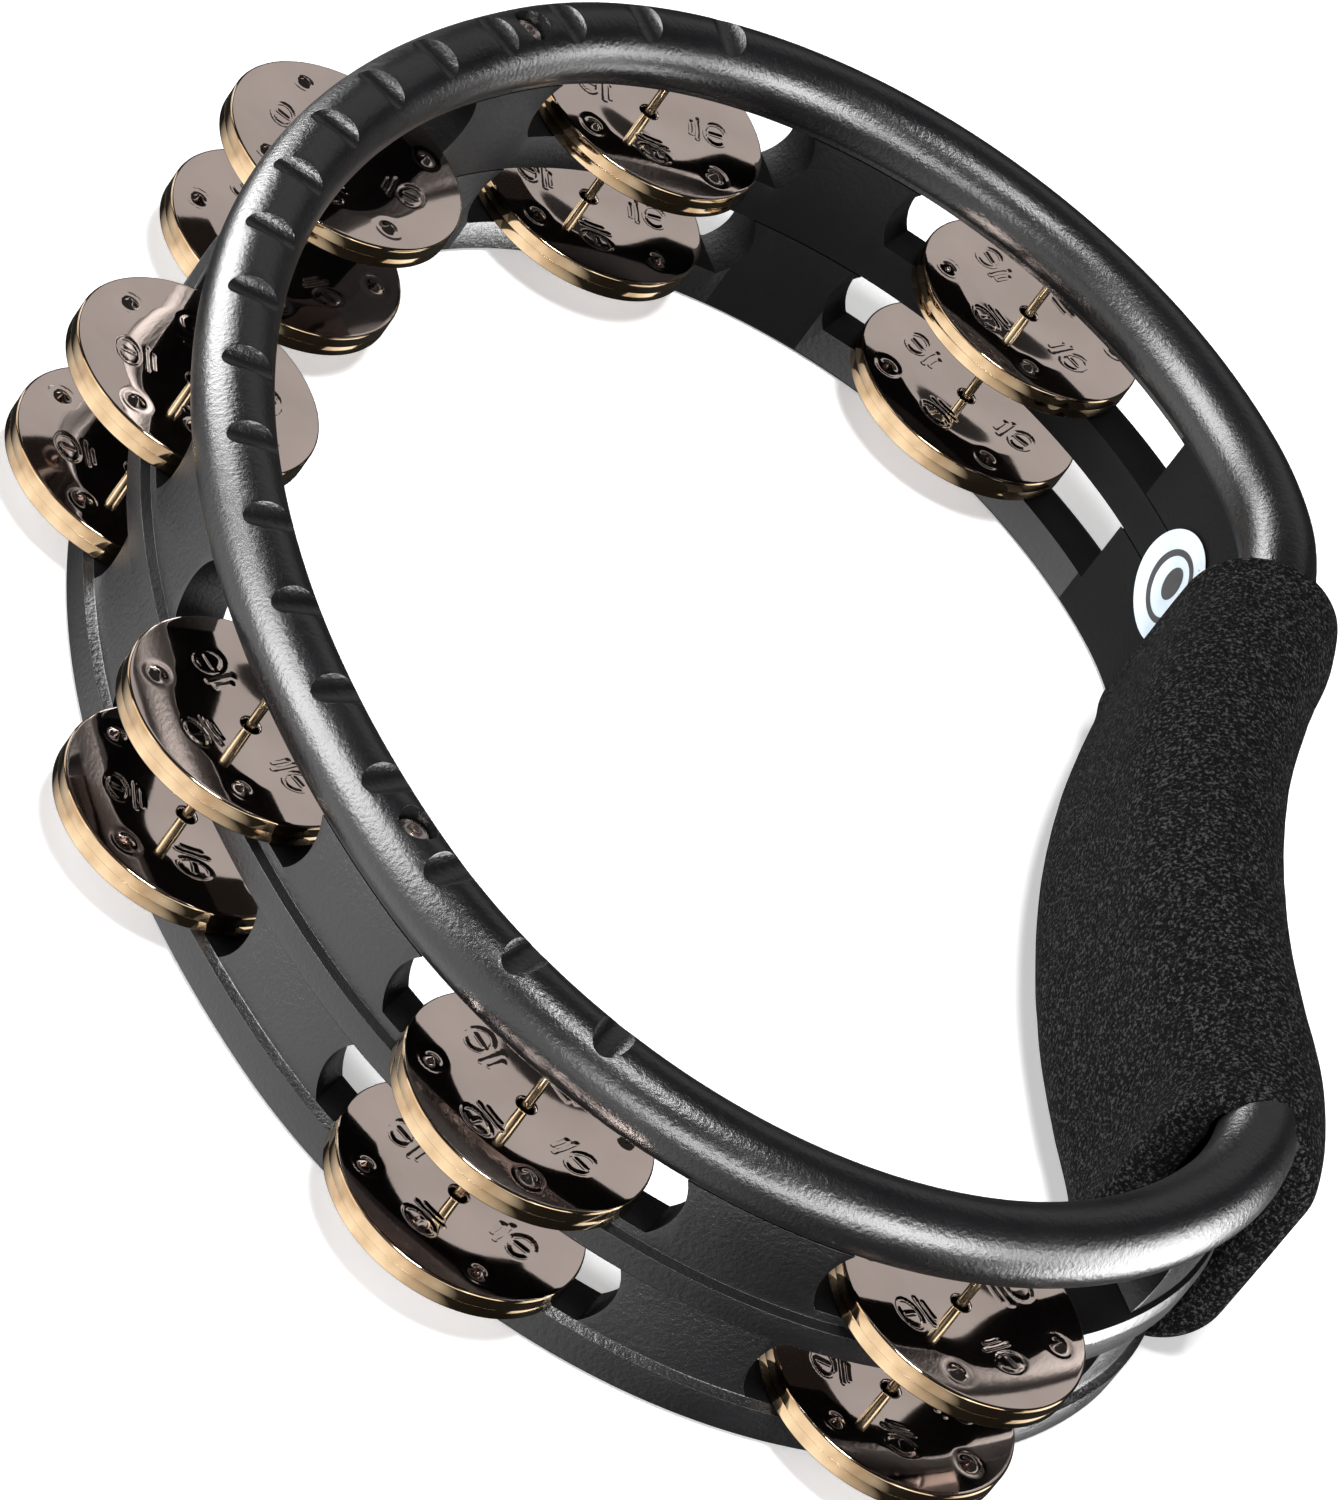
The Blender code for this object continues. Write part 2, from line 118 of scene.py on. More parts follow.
# Jingles. Angles are in degrees, and places are shares of the radius.
JINGLE_RADIUS = 22.7 * MM
JINGLE_HEIGHT = 2.3 * MM
JINGLE_SHEET = 0.7 * MM
JINGLE_BEND = 0.5 * MM
DISH_RADIUS = 15.5 * MM
DISH_DEPTH = 1.2 * MM
HOLE_RADIUS = 1.8 * MM
DIMPLE_PLACE = 0.77
DIMPLE_RADIUS = 1.35 * MM
DIMPLE_HEIGHT = 0.75 * MM
DIMPLES = (20.0, 110.0, 200.0, 290.0)
DIMPLE_CLEAR = 28.0  # least angle between a dimple and the ring's run
STAMP_DEPTH = 0.28 * MM
STAMP_LINE = 0.5 * MM
STAMP_REACH = 6.0 * MM
STAMPS = ((0.52, 65.0), (0.52, 155.0), (0.52, 245.0), (0.52, 335.0))
JINGLE_TURNS = (60, 10, 120, 35, 95, 150, 75)
BACK_ROW_TURN = 25
JINGLE_RINGS = 60
JINGLE_SIDES = 224
PAIR_GAP = 0.2 * MM

# Pins, notches and screws.
PIN_RADIUS = 0.9 * MM
PIN_BOTTOM = 2.4 * MM
PIN_TOP = 48.0 * MM
NOTCH_COUNT = 19
NOTCH_PITCH = 18.7 * MM
NOTCH_RADIUS = 3.6 * MM
NOTCH_DEPTH = 1.9 * MM
SCREW_NOTCH_STEPS = 6.5
SCREW_HEAD_RADIUS = 3.1 * MM
SCREW_SEAT = 52.0 * MM
SCREW_HEAD_HEIGHT = 1.6 * MM
COUNTERBORE_RADIUS = 3.5 * MM

# Stickers.
STICKER_RADIUS = 11.0 * MM
STICKER_PLACES = (308.0 * MM, -304.0 * MM)
STICKER_HEIGHT = 25.0 * MM
STICKER_THICKNESS = 0.3 * MM
SHEET_THICKNESS = 0.06 * MM
PRINT_LIFT = 0.08 * MM

FRAME_BODY = "frame"

# Camera: its axes, its place from the top of the frame's back, and its lens and film in mm.
CAMERA_RIGHT = (0.86610, 0.06884, 0.49511)
CAMERA_UP = (-0.42541, 0.62159, 0.65776)
CAMERA_FROM_BACK = (-0.33176, -1.29890, 0.90468)
CAMERA_LENS = 234.94
FILM_WIDTH = 36.0

# World: a dark room with a bright table below, in front and to the left. The table fades in between two
# values of the cosine of the angle from its direction.
ROOM_GLOW = 0.03
TABLE_GLOW = 2.2
TABLE_SIDE = (-0.72, -0.42, -0.55)
TABLE_FADE = (0.35, 0.85)
FLOOR_GLOW = 0.4
FLOOR_HEIGHT = -0.2 * MM
FLOOR_HALF_WIDTH = 4.0

# Softboxes beside the object: name, place, size, power on the plastic.
SIDE_LIGHTS = (
    ("left", (-1.35, -0.10, 0.50), (0.9, 1.3), 85.0),
    ("far_left", (-1.10, 1.30, 0.35), (1.0, 1.1), 66.0),
    ("front", (0.15, -1.60, 0.22), (1.4, 0.45), 46.0),
    ("near", (1.0, -1.15, 0.60), (0.8, 0.8), 60.0),
    ("right", (1.50, -0.10, -0.10), (0.9, 1.4), 75.0),
)
FILL_SHARE = 0.1  # of a side light's power that reaches everything but the plastic

# Materials: (place on the ramp, colour), from dark to light.
PLASTIC_TONES = [(0.3, (0.0009, 0.0009, 0.0011)), (0.7, (0.0017, 0.0017, 0.0020))]
FOAM_TONES = [
    (0.42, (0.0010, 0.0010, 0.0010)),
    (0.53, (0.0050, 0.0050, 0.0050)),
    (0.63, (0.055, 0.055, 0.057)),
]
FOIL_TONES = [(0.3, (0.50, 0.60, 0.68)), (0.7, (0.72, 0.78, 0.84))]
INK_TONES = [(0.3, (0.012, 0.012, 0.014)), (0.7, (0.022, 0.022, 0.025))]
FLOOR_TONES = [(0.3, (0.93, 0.93, 0.93)), (0.7, (0.95, 0.95, 0.95))]
NICKEL = ((0.56, 0.46, 0.415), (0.66, 0.545, 0.49))
JINGLE_EDGE = ((0.20, 0.12, 0.06), (0.72, 0.55, 0.35))
YELLOW_ZINC = ((0.70, 0.58, 0.36), (0.85, 0.76, 0.55))
SCREW_STEEL = ((0.36, 0.31, 0.29), (0.48, 0.42, 0.39))


# --- camera -----------------------------------------------------------------------------------------


def make_camera(back_x):
    """Looks down at the tambourine from -Y, rolled so that the handle hangs at the right."""
    right = Vector(CAMERA_RIGHT)
    up = Vector(CAMERA_UP)
    data = bpy.data.cameras.new("camera")
    data.lens = CAMERA_LENS
    data.sensor_width = FILM_WIDTH
    data.clip_end = 20.0
    camera = bpy.data.objects.new("camera", data)
    bpy.context.scene.collection.objects.link(camera)
    # A camera looks along its own -Z, so the third axis points back from the object.
    basis = Matrix((right, up, right.cross(up))).transposed().to_4x4()
    basis.translation = Vector(CAMERA_FROM_BACK) + Vector((back_x, 0.0, TUBE_HEIGHT))
    camera.matrix_world = basis
    bpy.context.scene.camera = camera


# --- outline ----------------------------------------------------------------------------------------


def half_arcs():
    """The arcs of the half with +Y, from the handle's middle to the back.

    Each is (centre x, centre y, radius, start, end).
    """
    back_x = BACK_ARC_RADIUS - BACK_TO_HANDLE / 2
    spread = BACK_ARC_RADIUS - SHOULDER_RADIUS
    shoulder = (back_x - sqrt(spread**2 - SHOULDER_SPREAD**2), SHOULDER_SPREAD)
    handle = (BACK_TO_HANDLE / 2 + HANDLE_RADIUS, 0.0)
    to_shoulder = SHOULDER_RADIUS - CORNER_RADIUS
    to_handle = HANDLE_RADIUS + CORNER_RADIUS
    away = (handle[0] - shoulder[0], handle[1] - shoulder[1])
    between = hypot(*away)
    along = (to_shoulder**2 - to_handle**2 + between**2) / (2 * between)
    across = sqrt(to_shoulder**2 - along**2)
    unit = (away[0] / between, away[1] / between)
    corner = (
        shoulder[0] + along * unit[0] - across * unit[1],
        shoulder[1] + along * unit[1] + across * unit[0],
    )
    handle_end = atan2(corner[1] - handle[1], corner[0] - handle[0])
    corner_end = atan2(corner[1] - shoulder[1], corner[0] - shoulder[0])
    shoulder_end = atan2(shoulder[1], shoulder[0] - back_x)
    return [
        (*handle, HANDLE_RADIUS, pi, handle_end),
        (*corner, CORNER_RADIUS, handle_end - pi, corner_end),
        (*shoulder, SHOULDER_RADIUS, corner_end, shoulder_end),
        (back_x, 0.0, BACK_ARC_RADIUS, shoulder_end, pi),
    ]


ARCS = half_arcs()
LENGTHS = [radius * abs(end - start) for _, _, radius, start, end in ARCS]
HALF_LENGTH = sum(LENGTHS)
# The frame's own place on X comes from the CAD: its tube's lowest X is the back of the outline.
BACK_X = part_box("front_frame_moulding")[0][0] + TUBE_RADIUS
SHIFT = BACK_X + BACK_TO_HANDLE / 2


def place(along):
    """Point and outward normal of the outline, at a distance from the handle's middle, towards +Y."""
    along = (along + HALF_LENGTH) % (2 * HALF_LENGTH) - HALF_LENGTH
    side = 1.0 if along >= 0 else -1.0
    left = abs(along)
    for (x, y, radius, start, end), length in zip(ARCS, LENGTHS):
        if left <= length or radius == BACK_ARC_RADIUS:
            break
        left -= length
    angle = start + (end - start) * left / length
    out = -1.0 if radius == HANDLE_RADIUS else 1.0
    point = (x + radius * cos(angle) + SHIFT, side * (y + radius * sin(angle)))
    return point, (out * cos(angle), side * out * sin(angle))


def from_back(along):
    """The same, at a distance from the middle of the back arc."""
    return place(HALF_LENGTH - along)


def waist(along):
    """0 in the ring and 1 in the middle of the handle."""
    left = abs((along + HALF_LENGTH) % (2 * HALF_LENGTH) - HALF_LENGTH)
    share = min(max((WAIST_END - left) / (WAIST_END - WAIST_FULL), 0.0), 1.0)
    return share * share * (3 - 2 * share)


def around(start, end, count):
    return [start + (end - start) * i / count for i in range(count + 1)]


def station_places():
    """Distances of the stations from the middle of the back arc, from the +Y end round to the -Y end."""
    return [STATION_PITCH * (i - (STATION_COUNT - 1) / 2) for i in reversed(range(STATION_COUNT))]


def arc_points(x, z, radius, start, end, count):
    return [(x + radius * cos(a), z + radius * sin(a)) for a in around(radians(start), radians(end), count)]


def end_web(along):
    """Whether a place is beyond the last station, in the solid wall that runs on into the handle."""
    left = abs((along + HALF_LENGTH) % (2 * HALF_LENGTH) - HALF_LENGTH)
    return HALF_LENGTH - left > station_places()[0]


# --- cross-sections ---------------------------------------------------------------------------------


def front_section(along):
    """The front tube and, by the handle, the wall under it: (offset, height) pairs."""
    z = TUBE_HEIGHT - WAIST_DEPTH * waist(along)
    foot = MIDDLE_RING_TOP + GAP if end_web(along) else FRONT_CEILING
    outer = PANEL_FACE
    start = -atan2(sqrt(TUBE_RADIUS**2 - outer**2), outer) * 180 / pi
    end = 180 + atan2(sqrt(TUBE_RADIUS**2 - INNER_FACE**2), -INNER_FACE) * 180 / pi
    return [(outer, foot)] + arc_points(0, z, TUBE_RADIUS, start, end, 40) + [(INNER_FACE, foot)]


def middle_section(along):
    """The middle ring and, between the slots, the web above it."""
    low = MIDDLE_RING_BOTTOM
    high = MIDDLE_RING_TOP
    if end_web(along):
        top = [(OUTER_FACE - EDGE_BREAK, high), (0.0, high), (INNER_FACE, high)]
    else:
        top = [(PANEL_FACE, high), (PANEL_FACE, FRONT_CEILING - GAP), (INNER_FACE, FRONT_CEILING - GAP)]
    crown = [(OUTER_FACE - EDGE_BREAK, low), (OUTER_FACE, low + EDGE_BREAK), (OUTER_FACE, low + RING_CROWN)]
    foot = [(PANEL_FACE, low + RING_FOOT)] if not end_web(along) else [(OUTER_FACE, low + RING_FOOT)]
    return crown + foot + top + [(INNER_FACE, low)]


def back_section(along):
    """The back rim and the web above it."""
    low = WAIST_DEPTH * waist(along)
    rim = BACK_RIM_HEIGHT
    return [
        (OUTER_FACE - EDGE_BREAK, low),
        (OUTER_FACE, low + EDGE_BREAK),
        (OUTER_FACE, rim - RIM_SLOPE),
        (PANEL_FACE + RIM_SLOPE / 5, rim - RIM_SLOPE / 5),
        (PANEL_FACE, rim),
        (PANEL_FACE, MIDDLE_RING_BOTTOM - GAP),
        (INNER_FACE, MIDDLE_RING_BOTTOM - GAP),
        (INNER_FACE, low + EDGE_BREAK),
        (INNER_FACE + EDGE_BREAK, low),
    ]


# --- mesh helpers -----------------------------------------------------------------------------------


def link(name, mesh, look=None):
    obj = bpy.data.objects.new(name, mesh)
    if look:
        mesh.materials.append(look)
    bpy.context.scene.collection.objects.link(obj)
    return obj


def mesh_of(name, points, faces):
    mesh = bpy.data.meshes.new(name)
    mesh.from_pydata(points, [], faces)
    shape = bmesh.new()
    shape.from_mesh(mesh)
    bmesh.ops.recalc_face_normals(shape, faces=shape.faces)
    shape.to_mesh(mesh)
    shape.free()
    return mesh


def swept(name, section, stations):
    """A closed ring with this cross-section, round the outline."""
    points = []
    for along in stations:
        (x, y), (nx, ny) = place(along)
        points += [(x + nx * offset, y + ny * offset, z) for offset, z in section(along)]
    size = len(points) // len(stations)
    faces = []
    for i in range(len(stations)):
        here = i * size
        there = (i + 1) % len(stations) * size
        faces += [(here + j, here + (j + 1) % size, there + (j + 1) % size, there + j) for j in range(size)]
    return mesh_of(name, points, faces)


def prism(name, outline, middle, out, near, far):
    """An outline of (along, up) pairs, drawn out through the wall from one offset to another."""
    (x, y), (nx, ny) = middle, out
    points = []
    for offset in (near, far):
        points += [(x + nx * offset - ny * u, y + ny * offset + nx * u, z) for u, z in outline]
    size = len(outline)
    faces = [tuple(range(size)), tuple(range(size, 2 * size))]
    faces += [(j, (j + 1) % size, size + (j + 1) % size, size + j) for j in range(size)]
    return mesh_of(name, points, faces)


def upright(name, point, radius, low, high, sides):
    """A vertical cylinder."""
    shape = bmesh.new()
    bmesh.ops.create_cone(
        shape, cap_ends=True, segments=sides, radius1=radius, radius2=radius, depth=high - low
    )
    bmesh.ops.translate(shape, verts=shape.verts, vec=(*point, (high + low) / 2))
    mesh = bpy.data.meshes.new(name)
    shape.to_mesh(mesh)
    shape.free()
    return mesh


def joined(name, meshes):
    shape = bmesh.new()
    for mesh in meshes:
        shape.from_mesh(mesh)
    whole = bpy.data.meshes.new(name)
    shape.to_mesh(whole)
    shape.free()
    return whole


def cut(obj, cutter):
    """Takes the cutter's shapes out of the object, for good."""
    tool = link(cutter.name, cutter)
    boolean = obj.modifiers.new("cut", "BOOLEAN")
    boolean.operation = "DIFFERENCE"
    boolean.solver = "EXACT"
    boolean.object = tool
    settle(obj)
    bpy.data.objects.remove(tool)


def settle(obj):
    """Replaces the object's mesh with what its modifiers make of it."""
    graph = bpy.context.evaluated_depsgraph_get()
    mesh = bpy.data.meshes.new_from_object(obj.evaluated_get(graph))
    obj.modifiers.clear()
    obj.data = mesh


def rounded(obj, width, angle=32):
    """Small rounds on every edge sharper than the angle, and smooth shading between them."""
    shape = bmesh.new()
    shape.from_mesh(obj.data)
    tiny = 0.02 * MM
    bmesh.ops.remove_doubles(shape, verts=shape.verts, dist=tiny)
    bmesh.ops.dissolve_degenerate(shape, edges=shape.edges, dist=tiny)
    shape.to_mesh(obj.data)
    shape.free()
    bevel = obj.modifiers.new("round", "BEVEL")
    bevel.width = width
    bevel.segments = 3
    bevel.limit_method = "ANGLE"
    bevel.angle_limit = radians(angle)
    bevel.harden_normals = False
    bevel.miter_outer = "MITER_ARC"
    settle(obj)
    obj.data.shade_smooth()
    obj.data.set_sharp_from_angle(angle=radians(angle))


def finished(obj, body, slot, *nodes):
    """Says which body the piece rides and the CAD nodes that it stands for; the slot argument is not used."""
    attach(obj, body)
    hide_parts(*nodes)


# --- materials --------------------------------------------------------------------------------------


class Nodes:
    """A new material, and short ways to add and link its nodes."""

    def __init__(self, name):
        self.material = bpy.data.materials.new(name)
        self.material.use_nodes = True
        self.tree = self.material.node_tree
        self.shader = self.tree.nodes["Principled BSDF"]
        self.place = self.add("ShaderNodeTexCoord").outputs["Object"]

    def add(self, kind, **settings):
        node = self.tree.nodes.new(kind)
        for key, value in settings.items():
            setattr(node, key, value)
        return node

    def join(self, start, end):
        self.tree.links.new(start, end)

    def noise(self, scale, detail=2.0, roughness=0.5):
        node = self.add("ShaderNodeTexNoise")
        node.inputs["Scale"].default_value = scale
        node.inputs["Detail"].default_value = detail
        node.inputs["Roughness"].default_value = roughness
        self.join(self.place, node.inputs["Vector"])
        return node.outputs["Fac"]

    def grains(self, scale):
        node = self.add("ShaderNodeTexVoronoi")
        node.inputs["Scale"].default_value = scale
        self.join(self.place, node.inputs["Vector"])
        return node.outputs["Distance"]

    def ramp(self, source, stops):
        node = self.add("ShaderNodeValToRGB")
        self.join(source, node.inputs["Fac"])
        marks = node.color_ramp.elements
        while len(marks) < len(stops):
            marks.new(0.5)
        for mark, (at, colour) in zip(marks, stops):
            mark.position = at
            mark.color = (*colour, 1.0)
        return node.outputs["Color"]

    def scaled(self, source, low, high):
        node = self.add("ShaderNodeMapRange")
        node.inputs["To Min"].default_value = low
        node.inputs["To Max"].default_value = high
        self.join(source, node.inputs["Value"])
        return node.outputs["Result"]

    def bump(self, source, strength, distance, before=None):
        node = self.add("ShaderNodeBump")
        node.inputs["Strength"].default_value = strength
        node.inputs["Distance"].default_value = distance
        self.join(source, node.inputs["Height"])
        if before:
            self.join(before, node.inputs["Normal"])
        return node.outputs["Normal"]

    def set(self, **values):
        for key, value in values.items():
            self.shader.inputs[key.replace("_", " ")].default_value = value


def plastic(name, gloss, roughness):
    """Black moulded ABS: satin, with a fine leathery grain and slightly polished patches."""
    look = Nodes(name)
    look.set(IOR=1.5, Specular_IOR_Level=gloss)
    look.join(look.ramp(look.noise(45.0, 4.0), PLASTIC_TONES), look.shader.inputs["Base Color"])
    look.join(look.scaled(look.noise(70.0, 5.0, 0.6), *roughness), look.shader.inputs["Roughness"])
    coarse = look.bump(look.noise(1100.0, 3.0, 0.6), 0.30, 0.0004)
    fine = look.bump(look.noise(4500.0, 2.0), 0.12, 0.0002, coarse)
    look.join(fine, look.shader.inputs["Normal"])
    return look.material


def foam_look():
    """Black closed-cell foam with fine light specks."""
    look = Nodes("black_foam")
    look.set(IOR=1.45, Specular_IOR_Level=0.12)
    specks = look.noise(1400.0, 3.0, 0.75)
    look.join(look.ramp(specks, FOAM_TONES), look.shader.inputs["Base Color"])
    look.join(look.scaled(look.noise(60.0, 3.0), 0.84, 0.97), look.shader.inputs["Roughness"])
    cells = look.bump(look.grains(1500.0), 0.55, 0.0005)
    look.join(look.bump(specks, 0.4, 0.0005, cells), look.shader.inputs["Normal"])
    return look.material


def metal(name, dark, light, roughness, scale):
    """Plain metal whose shade and polish vary a little over patches of this scale."""
    look = Nodes(name)
    look.set(Metallic=1.0)
    tone = look.ramp(look.noise(scale, 3.0), [(0.3, dark), (0.7, light)])
    look.join(tone, look.shader.inputs["Base Color"])
    look.join(look.scaled(look.noise(scale * 3, 5.0, 0.65), *roughness), look.shader.inputs["Roughness"])
    look.join(look.bump(look.noise(400.0, 3.0), 0.02, 0.0002), look.shader.inputs["Normal"])
    return look.material


def foil():
    """Silvery blue foil with a faint sheen of colour."""
    look = Nodes("silver_foil")
    look.set(Metallic=0.35)
    look.join(look.ramp(look.noise(120.0, 3.0), FOIL_TONES), look.shader.inputs["Base Color"])
    look.join(look.scaled(look.noise(300.0, 4.0), 0.22, 0.38), look.shader.inputs["Roughness"])
    look.join(look.bump(look.noise(800.0, 2.0), 0.05, 0.0002), look.shader.inputs["Normal"])
    return look.material


def ink():
    look = Nodes("black_print")
    look.join(look.ramp(look.noise(500.0, 3.0), INK_TONES), look.shader.inputs["Base Color"])
    look.join(look.scaled(look.noise(300.0, 3.0), 0.30, 0.45), look.shader.inputs["Roughness"])
    return look.material


def floor_look():
    """Pale and dull, with a weak glow that brings it up to the backdrop's white."""
    look = Nodes("pale_floor")
    look.join(look.ramp(look.noise(3.0, 3.0), FLOOR_TONES), look.shader.inputs["Base Color"])
    look.set(Roughness=0.9, Specular_IOR_Level=0.1)
    look.set(Emission_Color=(1.0, 1.0, 1.0, 1.0), Emission_Strength=FLOOR_GLOW)
    return look.material


# --- the frame --------------------------------------------------------------------------------------


def slot_outline(low, high, below, above, station):
    """Slot with bowed ends, seen from outside."""
    outline = []
    for side in (1, -1):
        half = SLOT_HALF_LENGTH
        if side * station < -2.5 * STATION_PITCH:
            half += END_SLOT_EXTRA
        rise = (high - low) / 2
        turn = atan2(rise, sqrt(SLOT_END_RADIUS**2 - rise**2)) * 180 / pi
        centre = half - SLOT_END_RADIUS * cos(radians(turn))
        low_end = [(side * half, low - below)] if below else []
        high_end = [(side * half, high + above)] if above else []
        bow = arc_points(centre, (low + high) / 2, SLOT_END_RADIUS, -turn, turn, 14)
        end = low_end + [(side * x, z) for x, z in bow] + high_end
        outline += end[::side]
    return outline


def notch(index):
    """A finger notch across the top of the tube, as the cylinder that cuts it."""
    point, out = from_back((index - (NOTCH_COUNT - 1) / 2) * NOTCH_PITCH)
    z = TUBE_HEIGHT + TUBE_RADIUS - NOTCH_DEPTH + NOTCH_RADIUS
    outline = arc_points(0, z, NOTCH_RADIUS, 0, 350, 35)
    return prism("notch", outline, point, out, -TUBE_RADIUS, TUBE_RADIUS)


def screw_places():
    return [side * SCREW_NOTCH_STEPS * NOTCH_PITCH for side in (1, -1)]


def paint_inner_shade(obj, look):
    """Gives a second, duller copy of the plastic to the walls' faces that don't look outward, inner faces and
    slots' ends: painted shade for the inside of the ring.
    """
    least_outward = 0.45
    obj.data.materials.append(look)
    for face in obj.data.polygons:
        out = face.center.xy.normalized()
        walls = BACK_RIM_HEIGHT - GAP < face.center.z < FRONT_CEILING + GAP
        if walls and face.normal.xy.dot(out) < least_outward:
            face.material_index = 1


def make_frame(look, inner_shade_look):
    count = 2 * round(HALF_LENGTH / FINE_STEP)
    stations = around(0.0, 2 * HALF_LENGTH, count)[:-1]
    reach = 14 * MM
    overrun = 2 * MM
    front_row = (MIDDLE_RING_TOP, FRONT_CEILING)
    back_row = (BACK_RIM_HEIGHT, MIDDLE_RING_BOTTOM)
    ends = [station_places()[0], station_places()[-1]]
    for node, section, row, below, above, places in (
        ("front_frame_moulding", front_section, front_row, overrun, 0.0, ends),
        ("middle_frame_ring", middle_section, front_row, 0.0, overrun, station_places()),
        ("back_frame_moulding", back_section, back_row, 0.0, overrun, station_places()),
    ):
        obj = link(node + "_skin", swept(node, section, stations), look)
        slots = []
        for along in places:
            outline = slot_outline(*row, below, above, along)
            slots.append(prism("slot", outline, *from_back(along), -reach, reach))
        if section is front_section:
            slots += [notch(i) for i in range(NOTCH_COUNT)]
            for along in screw_places():
                bore = (COUNTERBORE_RADIUS, SCREW_SEAT - GAP, TUBE_HEIGHT + 2 * TUBE_RADIUS)
                slots.append(upright("bore", from_back(along)[0], *bore, 48))
        cut(obj, joined("cuts", slots))
        rounded(obj, EDGE_ROUND)
        # Painted shade: the faces that don't look outward get the duller copy of the plastic.
        paint_inner_shade(obj, inner_shade_look)
        finished(obj, FRAME_BODY, "frame_plastic", node)


# --- the foam grip ----------------------------------------------------------------------------------


def sleeve_section(along, count):
    left = SLEEVE_HALF_LENGTH - abs(along - SLEEVE_PLACE)
    inset = 0.0
    if left < SLEEVE_END_ROUND:
        inset = SLEEVE_END_ROUND - sqrt(max(SLEEVE_END_ROUND**2 - (SLEEVE_END_ROUND - left) ** 2, 0.0))
    low = GAP + inset
    high = SLEEVE_TOP - inset
    corner = SLEEVE_CORNER - inset
    x = SLEEVE_HALF_WIDTH - inset - corner
    outline = []
    for side, z, start in (
        (1, low + corner, -90),
        (1, high - corner, 0),
        (-1, high - corner, 90),
        (-1, low + corner, 180),
    ):
        outline += arc_points(side * x, z, corner, start, start + 90, count)
    return outline


def core_ring(along, size):
    """The hole in the sleeve's end, as a ring with the same number of points as the outside."""
    z = TUBE_HEIGHT - WAIST_DEPTH * waist(along)
    low = WAIST_DEPTH * waist(along) - GAP
    radius = TUBE_RADIUS + GAP
    outer = OUTER_FACE + GAP
    inner = -INNER_FACE + GAP
    start = -atan2(sqrt(radius**2 - outer**2), outer) * 180 / pi
    end = 180 + atan2(sqrt(radius**2 - inner**2), inner) * 180 / pi
    corners = [(0.0, low), (outer, low)]
    corners += arc_points(0, z, radius, start, end, 40) + [(-inner, low), (0.0, low)]
    spans = [hypot(b[0] - a[0], b[1] - a[1]) for a, b in zip(corners, corners[1:])]
    ring = []
    for i in range(size):
        left = sum(spans) * i / size
        for a, b, span in zip(corners, corners[1:], spans):
            if left <= span:
                break
            left -= span
        ring.append((a[0] + (b[0] - a[0]) * left / span, a[1] + (b[1] - a[1]) * left / span))
    return ring


def make_foam(look):
    """A thick tube of foam over the handle, with rounded ends and a hole that shows at each end."""
    first = SLEEVE_PLACE - SLEEVE_HALF_LENGTH
    last = SLEEVE_PLACE + SLEEVE_HALF_LENGTH
    turns = [SLEEVE_END_ROUND * (1 - cos(radians(a))) for a in (0, 12, 24, 36, 48, 60, 72, 84)]
    body = around(first + SLEEVE_END_ROUND, last - SLEEVE_END_ROUND, 110)
    stations = [first + t for t in turns] + body + [last - t for t in reversed(turns)]
    sides = 15
    rings = []
    size = 4 * (sides + 1)
    rings.append((first + CORE_DEPTH, core_ring(first + CORE_DEPTH, size)))
    rings.append((first, core_ring(first, size)))
    rings += [(along, sleeve_section(along, sides)) for along in stations]
    rings.append((last, core_ring(last, size)))
    rings.append((last - CORE_DEPTH, core_ring(last - CORE_DEPTH, size)))
    points = []
    for along, ring in rings:
        (x, y), (nx, ny) = place(along)
        points += [(x + nx * offset, y + ny * offset, z) for offset, z in ring]
    faces = []
    for i in range(len(rings) - 1):
        for j in range(size):
            k = (j + 1) % size
            faces.append((i * size + j, i * size + k, (i + 1) * size + k, (i + 1) * size + j))
    obj = link("foam_sleeve", mesh_of("foam_sleeve", points, faces), look)
    finer = obj.modifiers.new("fine", "SUBSURF")
    finer.levels = 1
    finer.render_levels = 1
    settle(obj)
    for vertex in obj.data.vertices:
        lumps = sum(noise.noise(vertex.co * scale) * depth for scale, depth in FOAM_LUMPS)
        vertex.co -= vertex.normal * MM * (FOAM_INSET + lumps)
    obj.data.shade_smooth()
    finished(obj, FRAME_BODY, "foam", "foam_grip")


# --- jingles ----------------------------------------------------------------------------------------


def stamp_distance(x, y):
    """Distance from the lines of a small made-up mark: a leaf with a vein, over two short bars."""
    leaf = abs(hypot(x, (y - 1.3 * MM) * 1.35) - 2.9 * MM)
    vein = hypot(x, max(abs(y - 1.3 * MM) - 1.2 * MM, 0.0))
    upper_bar = hypot(max(abs(x) - 2.9 * MM, 0.0), y + 2.3 * MM)
    lower_bar = hypot(max(abs(x) - 1.8 * MM, 0.0), y + 3.5 * MM)
    return min(leaf, vein, upper_bar, lower_bar)


